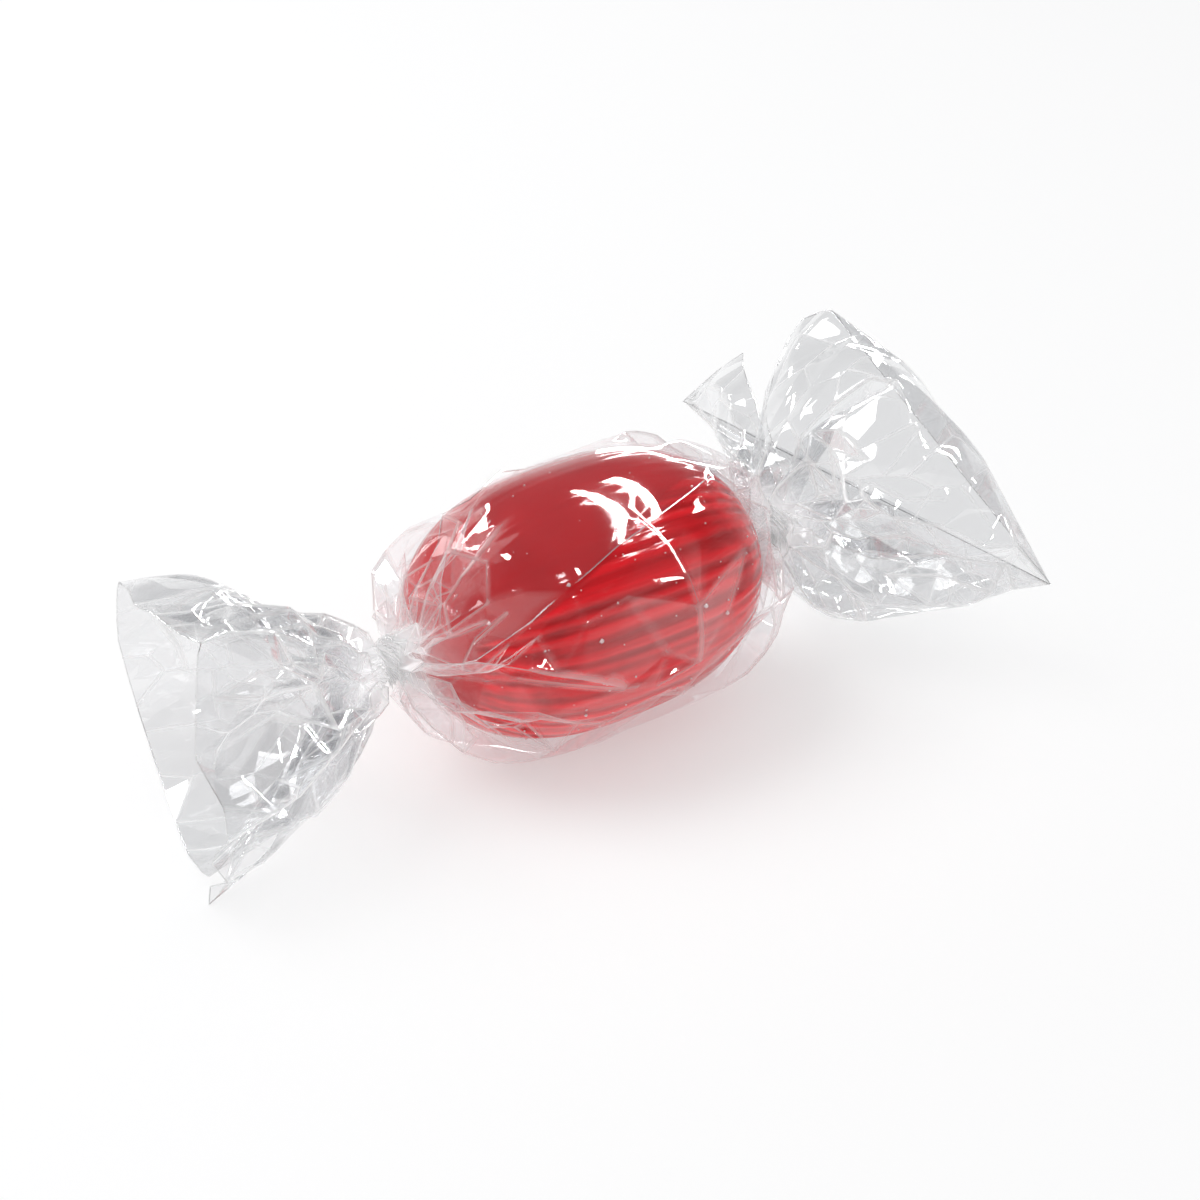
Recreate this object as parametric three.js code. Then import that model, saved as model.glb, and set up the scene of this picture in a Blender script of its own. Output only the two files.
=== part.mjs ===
// A hard boiled sweet twisted into clear film, as one closed solid out to the film: the belly round the
// sweet, a tight twist at each end, and beyond each twist the film flared into an open, crumpled wing.
// Millimetres. X runs along the sweet, Z is up, and the belly and both wings rest on Z = 0.
import * as THREE from "three";

// Driving dimensions of the sweet and the belly of film round it
const SWEET_HALF_LENGTH = 12.6;
const SWEET_RADIUS = 8.7;
const FILM_SLACK = 0.9; // air between the sweet and the loose film
const BELLY_HALF_LENGTH = SWEET_HALF_LENGTH + FILM_SLACK;
const BELLY_RADIUS = SWEET_RADIUS + FILM_SLACK;
const BELLY_BLUNTNESS = 2.3; // 2 is an ellipse, and more is a squarer barrel
const REST_DEPTH = 0.15; // how far the belly is pressed flat where it lies
const AXIS_HEIGHT = BELLY_RADIUS - REST_DEPTH;

// The two twists
const NECK_RADIUS = 1.7;
const NECK_START = 13.6; // from the middle of the sweet
const NECK_LENGTH = 2.4;
const NECK_END = NECK_START + NECK_LENGTH;
const NECK_TWIST = 1.9; // turn of each twist, in radians
const TWIST_REACH = 4; // how far the turn carries on into the belly and the wing

// The two wings. length is the film's own, from the neck to its cut edge. The mouth's size is half its
// width and height, tall is how much further one corner of the film stands out, and cornerAt is where,
// as an angle from +Y up. lift and swing tilt the wing, and edgeWave is the wave of its cut edge.
const LEFT_WING = {
  side: -1,
  length: 16.6,
  halfWidth: 9.2,
  halfHeight: 9.6,
  tall: 0.14,
  cornerAt: 0.9,
  lift: 0,
  swing: 0.06,
  edgeWave: 0.8,
  edgePhase: 0.6,
};
const RIGHT_WING = {
  side: 1,
  length: 18.2,
  halfWidth: 9.8,
  halfHeight: 10.1,
  tall: 0.27,
  cornerAt: 0.95,
  lift: 0.02,
  swing: -0.05,
  edgeWave: 1.0,
  edgePhase: 2.9,
};
const OPENING_SWELL = 0.8; // under 1 opens the wing early, like a bell
const LEAST_ADVANCE = 0.25; // the least that film reaches along the wing for each millimetre of its own
const FILM_WALL = 1.0; // crumpled layers and all
const CUP_START = 3.2; // where the wing's layers part and its open side begins
const LEAST_CUP_RADIUS = 0.8;
const LEAST_FLOOR_WALL = 0.8; // of the wall that is pressed flat under a wing

// The folds of the gathered film: waves of unlike count with sharp crests
const FOLDS = [
  { count: 9, height: 0.5, phase: 0.3 },
  { count: 5, height: 0.32, phase: 2.2 },
  { count: 2, height: 0.18, phase: 4.1 },
];
// Their height as a share of the radius, and how far the neck's folds run on to the belly
const NECK_FOLD_SHARE = 0.34;
const WING_FOLD_SHARE = 0.12;
const BELLY_FOLD_SHARE = 0.02;
const BELLY_FOLD_REACH = 9;

// How finely each stretch is divided
const ROUND = 60;
const BELLY_STEPS = 24;
const NECK_STEPS = 3;
const WING_STEPS = 12;
const CUP_STEPS = 7;
const WALK_STEPS = 16;

const mix = THREE.MathUtils.lerp;
const smooth = THREE.MathUtils.smoothstep;
const crest = (turn) => 1 - 2 * Math.abs(Math.sin(turn / 2));
const foldAt = (angle) => FOLDS.reduce((sum, fold) => sum + fold.height * crest(fold.count * angle + fold.phase), 0);
const upTo = (count) => Array.from({ length: count }, (_, i) => i);

// How far the folds have turned at x along the axis, the opposite way at each end
function twistAt(x) {
  return Math.sign(x) * NECK_TWIST * smooth(Math.abs(x), NECK_START - TWIST_REACH, NECK_END + TWIST_REACH);
}

// Radius of the belly's outline at x, a blunt ellipse
function bellyRadius(x) {
  const inside = 1 - Math.pow(Math.min(1, Math.abs(x) / BELLY_HALF_LENGTH), BELLY_BLUNTNESS);
  return BELLY_RADIUS * Math.sqrt(inside);
}

// A point on the belly or a neck, at x along the axis and on the fold at an angle round it
function bodyPoint(x, fold) {
  const outline = Math.hypot(bellyRadius(x), NECK_RADIUS);
  const gathered = smooth(Math.abs(x), NECK_START - BELLY_FOLD_REACH, NECK_START);
  const radius = outline * (1 + mix(BELLY_FOLD_SHARE, NECK_FOLD_SHARE, gathered) * foldAt(fold));
  const angle = fold + twistAt(x);
  return new THREE.Vector3(x, radius * Math.cos(angle), AXIS_HEIGHT + radius * Math.sin(angle));
}

// Radius of a wing at a share of its film's length
function wingRadius(wing, share, fold, angle) {
  const round = Math.hypot(wing.halfWidth * Math.cos(angle), wing.halfHeight * Math.sin(angle));
  const corner = Math.pow(Math.max(0, Math.cos(angle - wing.cornerAt)), 2);
  const mouth = round * (1 + wing.tall * corner);
  const opened = Math.pow(Math.sin((Math.PI / 2) * share), OPENING_SWELL);
  const folds = mix(NECK_FOLD_SHARE, WING_FOLD_SHARE, Math.sqrt(share));
  return mix(NECK_RADIUS, mouth, opened) * (1 + folds * foldAt(fold));
}

// A point on a wing, at a share of its film's length from the neck. inset is its depth in the wall. The
// film keeps its length, so where it flares out more it reaches less far along the wing.
function wingPoint(wing, share, fold, inset) {
  const angle = fold + twistAt(wing.side * (NECK_END + share * wing.length));
  const step = (share * wing.length) / WALK_STEPS;
  const radii = upTo(WALK_STEPS + 1).map((i) => wingRadius(wing, (share * i) / WALK_STEPS, fold, angle));
  let along = 0;
  for (let i = 0; i < WALK_STEPS; i++) {
    along += Math.sqrt(Math.max(step * step - (radii[i + 1] - radii[i]) ** 2, (LEAST_ADVANCE * step) ** 2));
  }
  along += share * share * wing.edgeWave * Math.cos(3 * angle + wing.edgePhase);
  const radius = Math.max(radii[WALK_STEPS] - inset, LEAST_CUP_RADIUS);
  const point = new THREE.Vector3(along, wing.side * radius * Math.cos(angle), radius * Math.sin(angle));
  point.applyAxisAngle(new THREE.Vector3(0, 1, 0), -wing.lift);
  point.applyAxisAngle(new THREE.Vector3(0, 0, 1), wing.swing);
  return new THREE.Vector3(wing.side * (NECK_END + point.x), wing.side * point.y, AXIS_HEIGHT + point.z);
}

// The rings of the solid in order, from the bottom of the left wing's cup over the belly to the bottom
// of the right one's. Each is a function from a fold's angle to a point.
function rings() {
  const outside = (wing) => upTo(WING_STEPS)
    .map((i) => Math.pow((i + 1) / WING_STEPS, 1.2))
    .map((share) => (fold) => wingPoint(wing, share, fold, 0));
  const inside = (wing) => upTo(CUP_STEPS)
    .map((i) => mix(CUP_START / wing.length, 1, i / (CUP_STEPS - 1)))
    .map((share) => (fold) => wingPoint(wing, share, fold, FILM_WALL));
  const neck = (side) => upTo(NECK_STEPS).map((i) => side * mix(NECK_START, NECK_END, (i + 1) / NECK_STEPS));
  const belly = upTo(BELLY_STEPS + 1).map((i) => -NECK_START * Math.cos((Math.PI * i) / BELLY_STEPS));
  const body = [...neck(-1).reverse(), ...belly, ...neck(1)].map((x) => (fold) => bodyPoint(x, fold));
  return [
    ...inside(LEFT_WING),
    ...outside(LEFT_WING).reverse(),
    ...body,
    ...outside(RIGHT_WING),
    ...inside(RIGHT_WING).reverse(),
  ];
}

// The middle of a ring
function middleOf(ring) {
  const middle = new THREE.Vector3();
  upTo(ROUND).forEach((i) => middle.addScaledVector(ring((2 * Math.PI * i) / ROUND), 1 / ROUND));
  return middle;
}

// The whole solid. A lathe gives the closed grid of faces, and each of its vertices then takes its place.
function wrappedCandyGeometry() {
  const ringList = rings();
  const last = ringList.length + 1;
  const profile = [new THREE.Vector2(0, 0), ...ringList.map((_, i) => new THREE.Vector2(1, i + 1))];
  profile.push(new THREE.Vector2(0, last));
  const geometry = new THREE.LatheGeometry(profile, ROUND);
  const ends = [middleOf(ringList[0]), middleOf(ringList[last - 2])];
  const position = geometry.getAttribute("position");
  for (let column = 0; column <= ROUND; column++) {
    const fold = (2 * Math.PI * (column % ROUND)) / ROUND;
    profile.forEach((_, row) => {
      const atEnd = row === 0 || row === last;
      const point = atEnd ? ends[row === 0 ? 0 : 1] : ringList[row - 1](fold);
      const inCup = row <= CUP_STEPS || row >= last - CUP_STEPS;
      const lowest = inCup ? LEAST_FLOOR_WALL : 0;
      position.setXYZ(column * profile.length + row, point.x, point.y, Math.max(point.z, lowest));
    });
  }
  geometry.computeVertexNormals();
  return geometry;
}

// Moves a mesh so that the middle of its footprint is at the origin
function standOnOrigin(mesh) {
  const middle = new THREE.Box3().setFromObject(mesh).getCenter(new THREE.Vector3());
  mesh.position.set(-middle.x, -middle.y, 0);
}

const redUnderFilm = new THREE.MeshStandardMaterial({ color: 0xc62f36, roughness: 0.15, metalness: 0 });
const wrappedCandy = new THREE.Mesh(wrappedCandyGeometry(), redUnderFilm);
wrappedCandy.name = "wrapped_candy";
standOnOrigin(wrappedCandy);

const part = new THREE.Group();
part.add(wrappedCandy);
export default part;
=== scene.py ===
"""A hard boiled sweet twisted into clear film. The CAD holds it as one solid out to the film. Here that
solid is replaced by the sweet, the bubbles in its skin, the sheet of film and the film's cut edge.

The film is a flat sheet divided into uneven triangles, which fold only along their edges, as crisp film
does. A small solver starts from a first shape round the sweet and pulls each edge towards its own length,
clear of the sweet and the floor. Most edges of the belly and the wings come near it. In the twists, where
the film is bunched, they don't. The solver works in millimetres with the middle of the sweet at x = 0.
Everything in the scene is in metres.
"""

import math

import bpy
import numpy as np
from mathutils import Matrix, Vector
from mathutils.geometry import delaunay_2d_cdt

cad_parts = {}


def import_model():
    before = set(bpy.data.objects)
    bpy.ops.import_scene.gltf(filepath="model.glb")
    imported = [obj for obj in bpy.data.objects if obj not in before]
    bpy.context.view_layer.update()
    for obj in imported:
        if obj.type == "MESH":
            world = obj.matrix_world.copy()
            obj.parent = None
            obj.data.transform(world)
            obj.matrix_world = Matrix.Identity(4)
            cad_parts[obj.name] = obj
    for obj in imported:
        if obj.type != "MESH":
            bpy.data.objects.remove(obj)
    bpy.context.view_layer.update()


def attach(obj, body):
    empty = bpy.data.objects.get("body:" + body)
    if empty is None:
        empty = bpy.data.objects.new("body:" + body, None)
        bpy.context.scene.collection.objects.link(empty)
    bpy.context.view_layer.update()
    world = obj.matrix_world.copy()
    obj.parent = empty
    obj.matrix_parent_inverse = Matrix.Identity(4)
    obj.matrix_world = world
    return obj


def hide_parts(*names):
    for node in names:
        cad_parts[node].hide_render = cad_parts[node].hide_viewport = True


MM = 0.001
TAU = 2 * math.pi
TINY = 1e-9  # added where a length may be 0 and is divided by

# Where the random numbers of the film, of the sweet's grooves and of the bubbles start
SEED = 6
SWEET_SEED = SEED + 20
BUBBLE_SEED = SEED + 30

# The CAD's driving dimensions, in millimetres
SWEET_HALF_LENGTH = 12.6
SWEET_RADIUS = 8.7
AXIS_HEIGHT = 9.45
NECK_START = 13.6
NECK_END = 16.4
SWEET_MIDDLE = (-0.65, 0.17)  # in the CAD's frame

# The sweet: its outline is blunter than an ellipse's, whose number is 2. Grooves run along it, and they are
# deepest where it is wet, which is in a patch below the film's outer edge.
# The material also paints a brighter, more vivid red in the wet patch, which is painted light.
SWEET_BLUNTNESS = 2.7
SWEET_GRID = (161, 480)  # points along it and round it
GROOVE_COUNTS = (29, 41, 47, 61)  # unlike waves round the sweet that make up the grooves
GROOVE_DEPTH = 0.038
DRY_GROOVES = 0.3  # of the depth
WET_SPAN = 1.9  # how far round from the film's edge the wet patch goes, in radians
WET_HALF_LENGTH = 11.3
WET_TOP_EASE = 0.03
WET_BOTTOM_EASE = 0.25
WET_END_EASE = 0.8
EDGE_REACH = 15.0  # from the middle, over which the patch follows the film's edge

# The bubbles, which are eight-sided specks half sunk in the sweet's surface
BUBBLES = 170
BUBBLE_SIZES = (0.04, 0.1)
BUBBLE_SINK = 0.02
BUBBLE_REACH = 0.9  # of the sweet's half length
BIG_BUBBLES = 0.12  # of all, which are twice as big

# The sheet of film: its own width round the sweet, and its lengths along it
FILM_WIDTH = 68.0
FILM_OVERLAP = 8.5  # of the two edges on the belly
FILM_ROUND = FILM_WIDTH - FILM_OVERLAP
WING_OVERLAP = 4.0  # of the two edges in a wing, from WING_OVERLAP_FROM beyond its twist
WING_OVERLAP_FROM = 8.0
CLOSE_SHARE = 0.24  # of the width, at each edge, is drawn close to the sweet
CLOSE_EASE = 0.06  # of the width, over which it leaves the sweet again
CLOSE_RADIUS = 8.95
LOOSE_RADIUS = 9.5
BELLY_SLACK = 0.4
BAND = 4.0  # taken up in each twist
LEFT_LENGTH = 16.8
RIGHT_LENGTH = 19.0
LAP_STEP = 0.14  # how much further out the outer lap starts than the inner one
FILM_GAP = 0.06  # between the film and the sweet where they touch
FLOOR_GAP = 0.03

# The two laps on the belly, which are smoothed over each other: how far to each side of the middle, the gap
# between them, and where each of them is across the sheet
LAP_HALF_LENGTH = 9.0
LAP_END_EASE = 3.5
LAP_GAP = 0.12
OUTER_LAP_FROM = 0.80
OUTER_LAP_EASE = 0.07
INNER_LAP_TO = 0.15
INNER_LAP_EASE = 0.05

# The thread that is the film's cut edge
RIM_RADIUS = 0.045
RIM_SIDES = 5
RIM_FLOOR_GAP = 0.01

# The belly's outline, out to the film
BELLY_HALF_LENGTH = 13.3
BELLY_RADIUS = 8.85
STAND_OFF = 0.65  # how much further out it is where the film isn't drawn to the sweet
STAND_OFF_FROM = 2  # from a twist
STAND_OFF_EASE = 5
BELLY_BLUNTNESS = 2.6
GATHER_EASE = 5  # before a twist, over which the film is gathered evenly round the axis
TWIST_REACH = 4.0  # over which a twist's folds die out on the belly
NECK_CORE = 1.1
LEAST_RADIUS = 0.2

# Angles round the axis, from +Y up, in radians: the film's outer edge at each end of the belly, and how far
# each twist turns
EDGE_AT = {-1: 2.75, 1: 1.65}
TURN = {-1: -4.8, 1: 5.5}
TURN_EASE = 1.2  # how far each twist's turn runs on into the belly and the wing

# The solver: how strongly the film is drawn to its first shape, until a third of the rounds, until
# LAST_ROUNDS of them and to the end, and how strongly the laps and the ridges always are
FILM_ROUNDS = 900
FIRST_PULL = 0.05
SECOND_PULL = 0.02
LAST_PULL = 0.002
LAST_ROUNDS = 0.85
CLING = 0.05
CLING_FROM = 1.5  # from a twist
CLING_EASE = 3.0

# How unevenly the film starts, and how hard it is to fold. STIFF_SHARE of its edges resist folding, and so
# do all of those that are further than FOLDED_END from the ends of the belly.
BELLY_JOLT = 0.05
WING_JOLT = 0.55
JOLT_EASE = 3.0  # from a twist
STIFF_SHARE = 0.45
STIFF = 0.5
LIMP = 0.02
FOLDED_END = 6

# The film's mesh: how many times the side of each triangle is divided, and how round its folds are
DIVISIONS = 5
ROUNDNESS = 0.7
ALIKE_POWER = 12  # the higher, the more nearly alike two triangles must face to be rounded into each other
EDGE_CLOSENESS = 0.65  # of the way from even rows of points to rows that crowd at a triangle's edges

# Facets of crumpled film that the material adds, in each millimetre along the sheet and across it
CREASES_ALONG = 0.21
CREASES_ACROSS = 0.32

# What the film's material reads at each point: how white a fold is for its sharpness, a white that is
# partly stress in the film and partly painted highlight; how far from a twist the film is milky, partly
# painted light;
# over which distance it turns grey there, partly painted shade; where its outer lap is hazy, a painted
# reflection; and up to which gap it counts as touching the sweet
FOLD_WHITENS = 8
FOLD_LEAST = 0.06
MILKY_REACH = 2.2
GREY_FROM = 0.5
GREY_EASE = 3.0
HAZE_FROM = 0.5
HAZE_EASE = 0.2
HAZE_END = 2.0
TOUCHING_EASE = 0.3

# The floor and the camera, in metres and degrees
FLOOR_REACH = 8.0
FLOOR_SINK = 0.00002
CAMERA_AZIMUTH = -35
CAMERA_ELEVATION = 31
CAMERA_TARGET = (0.0005, 0.0, 0.0085)
CAMERA_DISTANCE = 0.155
CAMERA_LENS = 71
CAMERA_SENSOR = 36


# ---------------------------------------------------------------- the film's first shape


def smooth(t):
    t = np.clip(t, 0, 1)
    return t * t * (3 - 2 * t)


def bell(t):
    return np.exp(-t * t)


def belly_outline(x):
    inside = 1 - np.clip(np.abs(x) / BELLY_HALF_LENGTH, 0, 1) ** BELLY_BLUNTNESS
    return np.hypot(BELLY_RADIUS * np.sqrt(inside), NECK_CORE)


def belly_walk():
    """Places along the belly's outline from its middle to a neck, and the film's length to each."""
    x = NECK_START * np.sin(np.linspace(0, math.pi / 2, 400))
    radius = belly_outline(x)
    walked = np.concatenate([[0], np.cumsum(np.hypot(np.diff(x), np.diff(radius)))])
    return x, radius, walked


WALK = belly_walk()
HALF_BELLY = WALK[2][-1] + BELLY_SLACK  # of film, from the middle of the belly to a twist
FILM_FROM = -(HALF_BELLY + BAND + LEFT_LENGTH)
FILM_TO = HALF_BELLY + BAND + RIGHT_LENGTH

# The film's folds across it: how many there are in a twist, how unlike their widths are and how unlike
# their heights. Then, up to each distance from the twist, every how many of them go on, how far apart the
# corners are along the film, and how unevenly they are spread.
COLUMNS = 84
UNEVEN_WIDTHS = 0.42
UNEVEN_HEIGHTS = 0.35
UNEVEN_STEPS = 0.15  # of the distance between two rows of corners
LAST_STEP = 0.6  # of a step. A row that comes nearer than this to the film's end is its last one
LENGTH_WEIGHT = 0.7  # what the sheet's length counts for beside its width when its corners are joined
ZONES = [
    (1.5, 1, 1.0, 0.06),
    (5.0, 2, 1.5, 0.20),
    (8.5, 2, 1.9, 0.34),
    (99.0, 3, 2.5, 0.38),
]

# How far each wing leans out from the axis, in radians, at angles round it in degrees
LEAN = {
    -1: {-150: 0.42, -107: 0.59, -70: 0.72, -33: 0.88, 0: 0.75, 50: 0.58, 110: 0.46, 180: 0.38},
    1: {
        -155: 0.50,
        -115: 1.10,
        -85: 0.90,
        -60: 0.65,
        -20: 0.70,
        20: 0.92,
        60: 1.02,
        90: 0.92,
        120: 0.68,
        160: 0.55,
    },
}
LEAN_EASE = 0.35  # how far to each side of an angle the lean is averaged, in radians
TWIST_LEAN = 1.5  # times the wing's own lean, at its twist
END_LEAN = 0.5  # times its own lean, at its end
MOST_LEAN = 1.4
WING_STEPS = 24  # in which a wing's film is walked from its twist outwards

# Folds that stand off the sweet on the belly: how far each stands off, and the places it runs through, as
# the distance along the sweet and the angle round it in degrees
RIDGES = [
    (0.9, [(-12.6, 168), (-0.8, 192), (-6.7, 214)]),
    (1.2, [(1.6, 138), (0.9, 200)]),
    (0.7, [(-11.8, 125), (-4.5, 97)]),
    (0.7, [(12.2, 150), (6.5, 214)]),
]
RIDGE_STEP = 1.5  # between the corners along a ridge
RIDGE_CLEARANCE = 1.2  # between a ridge and the other corners
RIDGE_ENDS = 0.06  # of half a wave, left out at each end of a ridge so that it doesn't start from nothing


def lean_at(side, angle):
    """The lean round a wing, eased between the places where LEAN states it."""
    known = sorted(LEAN[side].items())
    at = np.radians([degrees for degrees, _ in known])
    lean = np.array([value for _, value in known])
    at = np.concatenate([at - TAU, at, at + TAU])
    lean = np.tile(lean, 3)
    wrapped = (angle + math.pi) % TAU - math.pi
    shifts = np.linspace(-LEAN_EASE, LEAN_EASE, 7)
    return sum(np.interp(wrapped + shift, at, lean) for shift in shifts) / len(shifts)


def distance_from_twist(s):
    """How far along the sheet it is to the nearer twist, and 0 in it."""
    return np.clip(np.abs(np.abs(s) - HALF_BELLY - BAND / 2) - BAND / 2, 0, None)


def turned_under(u):
    """How far round the belly, in radians, a place across the sheet is from the outer edge. Near both edges
    the film is drawn close to the sweet, and there it takes more of a turn."""
    from_edge = 1 - np.asarray(u, float)
    outer = np.interp(from_edge, [0, CLOSE_SHARE], [0, CLOSE_SHARE])
    loose = np.interp(from_edge, [CLOSE_SHARE, 1 - CLOSE_SHARE], [0, 1 - 2 * CLOSE_SHARE])
    inner = np.interp(from_edge, [1 - CLOSE_SHARE, 1], [0, CLOSE_SHARE])
    return FILM_WIDTH * (outer / CLOSE_RADIUS + loose / LOOSE_RADIUS + inner / CLOSE_RADIUS)


def sheet_place(x, angle):
    """The place on the sheet, along it and across it, of a point of the belly."""
    s = math.copysign(np.interp(abs(x), WALK[0], WALK[2]), x)
    across = np.linspace(1, 0, 200)
    return s, float(np.interp((edge_angle(s) - angle) % TAU, turned_under(across), across))


def edge_angle(s):
    """Where the film's outer edge lies, as an angle round the axis."""
    return EDGE_AT[-1] + (EDGE_AT[1] - EDGE_AT[-1]) * smooth(0.5 + 0.5 * s / HALF_BELLY)


def with_ridges(corners):
    """The sheet's corners with those of the ridges added and those too near to them left out, and the pairs
    of corners along each ridge."""
    added = []
    pairs = []
    for height, path in RIDGES:
        stops = np.array([sheet_place(x, math.radians(angle)) for x, angle in path])
        legs = np.hypot(*(np.diff(stops, axis=0) * (1, FILM_WIDTH)).T)
        walked = np.concatenate([[0], np.cumsum(legs)])
        count = round(walked[-1] / RIDGE_STEP) + 1
        at = np.linspace(0, walked[-1], count)
        along, across = (np.interp(at, walked, stops[:, k]) for k in (0, 1))
        wave = RIDGE_ENDS + (1 - 2 * RIDGE_ENDS) * at / walked[-1]
        stand = height * np.sqrt(np.sin(math.pi * wave))
        first = len(added)
        added += [(s, u, h, -1.0) for s, u, h in zip(along, across, stand)]
        pairs += [(first + i, first + i + 1) for i in range(count - 1)]
    added = np.array(added).T
    apart = np.hypot(corners[0][:, None] - added[0], (corners[1][:, None] - added[1]) * FILM_WIDTH)
    kept = (apart.min(1) > RIDGE_CLEARANCE) | (corners[1] <= 0) | (corners[1] >= 1)
    first = int(kept.sum())
    return np.concatenate([corners[:, kept], added], axis=1), [(first + a, first + b) for a, b in pairs]


def sheet_corners(rng):
    """The corners of the film's facets on the flat sheet, and the pairs of them along each ridge. A corner
    has its place along the sheet in millimetres and across it from 0 to 1, the way it folds, out or in and
    how far, and the width of film in its fold. On a ridge the way is how far it stands off the sweet, and
    the width is -1."""
    widths = np.exp(rng.normal(0, UNEVEN_WIDTHS, COLUMNS))
    columns = np.concatenate([[0], np.cumsum(widths)]) / widths.sum()
    uneven = np.exp(rng.normal(0, UNEVEN_HEIGHTS, COLUMNS + 1))
    s = FILM_FROM
    rows = []
    while s < FILM_TO:
        keep, step, scatter = next(zone[1:] for zone in ZONES if distance_from_twist(s) <= zone[0])
        last = s + LAST_STEP * step > FILM_TO
        if last:
            s = FILM_TO
        fold = np.arange(0, COLUMNS + 1, keep)
        width = FILM_WIDTH * keep / COLUMNS
        inner = (fold > 0) & (fold < COLUMNS)
        along = np.full(len(fold), s)
        if s != FILM_FROM and not last:
            along = along + rng.uniform(-1, 1, len(fold)) * scatter * step
        across = columns[fold] + inner * rng.uniform(-1, 1, len(fold)) * scatter * width / FILM_WIDTH
        way = np.where(fold // keep % 2 == 0, 1.0, -1.0) * uneven[fold]
        rows.append(np.stack([along, across, way, np.full(len(fold), width)]))
        s += step * rng.uniform(1 - UNEVEN_STEPS, 1 + UNEVEN_STEPS)
        if last:
            break
    return with_ridges(np.concatenate(rows, axis=1))


def near_edges(u):
    """1 near both edges of the sheet, where it is drawn close to the sweet, and 0 between."""
    return smooth((np.abs(u - 0.5) - 0.5 + CLOSE_SHARE) / CLOSE_EASE)


def wing_reach(wing, lean, reached):
    """How far a wing goes along the axis and out from its twist. wing is the film's length there, and
    reached is that as a share of the whole wing's. It leans out most at the twist, and less further on."""
    out = np.zeros_like(wing)
    radius = np.zeros_like(wing)
    for k in range(WING_STEPS):
        t = (k + 0.5) / WING_STEPS * reached
        a = np.clip(lean * (TWIST_LEAN + (END_LEAN - TWIST_LEAN) * t), 0, MOST_LEAN)
        out += wing / WING_STEPS * np.cos(a)
        radius += wing / WING_STEPS * np.sin(a)
    return out, radius


def first_shape(corners):
    """Where each corner of the sheet starts and is gently drawn to: round the belly, gathered in the
    twists, and leaning out in the wings."""
    s, u, way, width = corners
    side = np.where(s < 0, -1, 1)
    far = np.abs(s)
    on_belly = far < HALF_BELLY
    beyond = distance_from_twist(s)
    in_band = np.clip((far - HALF_BELLY) / BAND, 0, 1)
    wing = np.clip(far - HALF_BELLY - BAND, 0, None)
    walk_x, walk_radius, walked = WALK
    share = np.clip(far / HALF_BELLY, 0, 1) * walked[-1]
    x = np.where(on_belly, np.interp(share, walked, walk_x), NECK_START + (NECK_END - NECK_START) * in_band)
    turned = smooth((far - HALF_BELLY + TURN_EASE) / (BAND + 2 * TURN_EASE))
    turn = np.where(side < 0, TURN[-1], TURN[1]) * turned
    lapped = FILM_OVERLAP + (WING_OVERLAP - FILM_OVERLAP) * np.clip(wing / WING_OVERLAP_FROM, 0, 1)
    spread_out = (1 - u) * TAU * FILM_WIDTH / (FILM_WIDTH - lapped)
    gathered = smooth((far - HALF_BELLY + GATHER_EASE) / GATHER_EASE)
    angle = edge_angle(s) - (turned_under(u) + (spread_out - turned_under(u)) * gathered) + turn
    lean = np.where(side < 0, lean_at(-1, angle), lean_at(1, angle))
    out, radius = wing_reach(wing, lean, wing / np.where(side < 0, LEFT_LENGTH, RIGHT_LENGTH))
    ridge = width < 0
    close = near_edges(u)
    stand_off = STAND_OFF * (1 - close) * smooth((beyond - STAND_OFF_FROM) / STAND_OFF_EASE)
    outline = np.interp(share, walked, walk_radius) + stand_off
    radius = np.where(on_belly, outline, NECK_CORE + radius)
    # the film that the outline has no room for stands in folds
    room = np.clip(radius * TAU / FILM_ROUND, 0, 1)
    depth = 0.5 * np.abs(width) * np.sqrt(1 - room * room)
    calm = (0.25 - 0.2 * close) + (0.75 + 0.2 * close) * bell(beyond / TWIST_REACH)
    depth = np.where(on_belly, depth * calm, depth)
    radius = radius + np.where(ridge, way, depth * np.where(on_belly, 0.9 * (1 + way), way))
    radius += LAP_STEP * u * smooth(beyond / TWIST_REACH)
    radius = np.maximum(radius, LEAST_RADIUS)
    return np.stack([side * (x + out), radius * np.cos(angle), AXIS_HEIGHT + radius * np.sin(angle)])


# ---------------------------------------------------------------- the film's folding


def triangles_of(corners, ridges):
    """The sheet's triangles. Its length counts for less than its width here, so they lie along it."""
    flat = [Vector((u * FILM_WIDTH, s * LENGTH_WEIGHT)) for s, u in corners[:2].T]
    faces = delaunay_2d_cdt(flat, ridges, [], 0, 1e-5, False)[2]
    return np.array([face[::-1] if turned_over(flat, face) else face for face in faces])


def turned_over(flat, face):
    a, b, c = (flat[i] for i in face)
    return (b - a).cross(c - a) < 0


def edges_of(faces):
    """Each edge once. Then, for each edge with a triangle on both sides, the two corners that face each
    other across it, and the edge itself."""
    opposite = {}
    for a, b, c in faces.tolist():
        for p, q, r in ((a, b, c), (b, c, a), (c, a, b)):
            opposite.setdefault((min(p, q), max(p, q)), []).append(r)
    edges = np.array(list(opposite))
    inner = [edge for edge, pair in opposite.items() if len(pair) == 2]
    across = np.array([opposite[edge] for edge in inner])
    return edges, across, inner


def in_turns(pairs):
    """Numbers of the pairs, in groups where no point is in two pairs."""
    used = [0] * (int(pairs.max()) + 1)
    groups = {}
    for number, (a, b) in enumerate(pairs.tolist()):
        taken = used[a] | used[b]
        turn = 0
        while taken >> turn & 1:
            turn += 1
        used[a] |= 1 << turn
        used[b] |= 1 << turn
        groups.setdefault(turn, []).append(number)
    return [np.array(group) for group in groups.values()]


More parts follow.
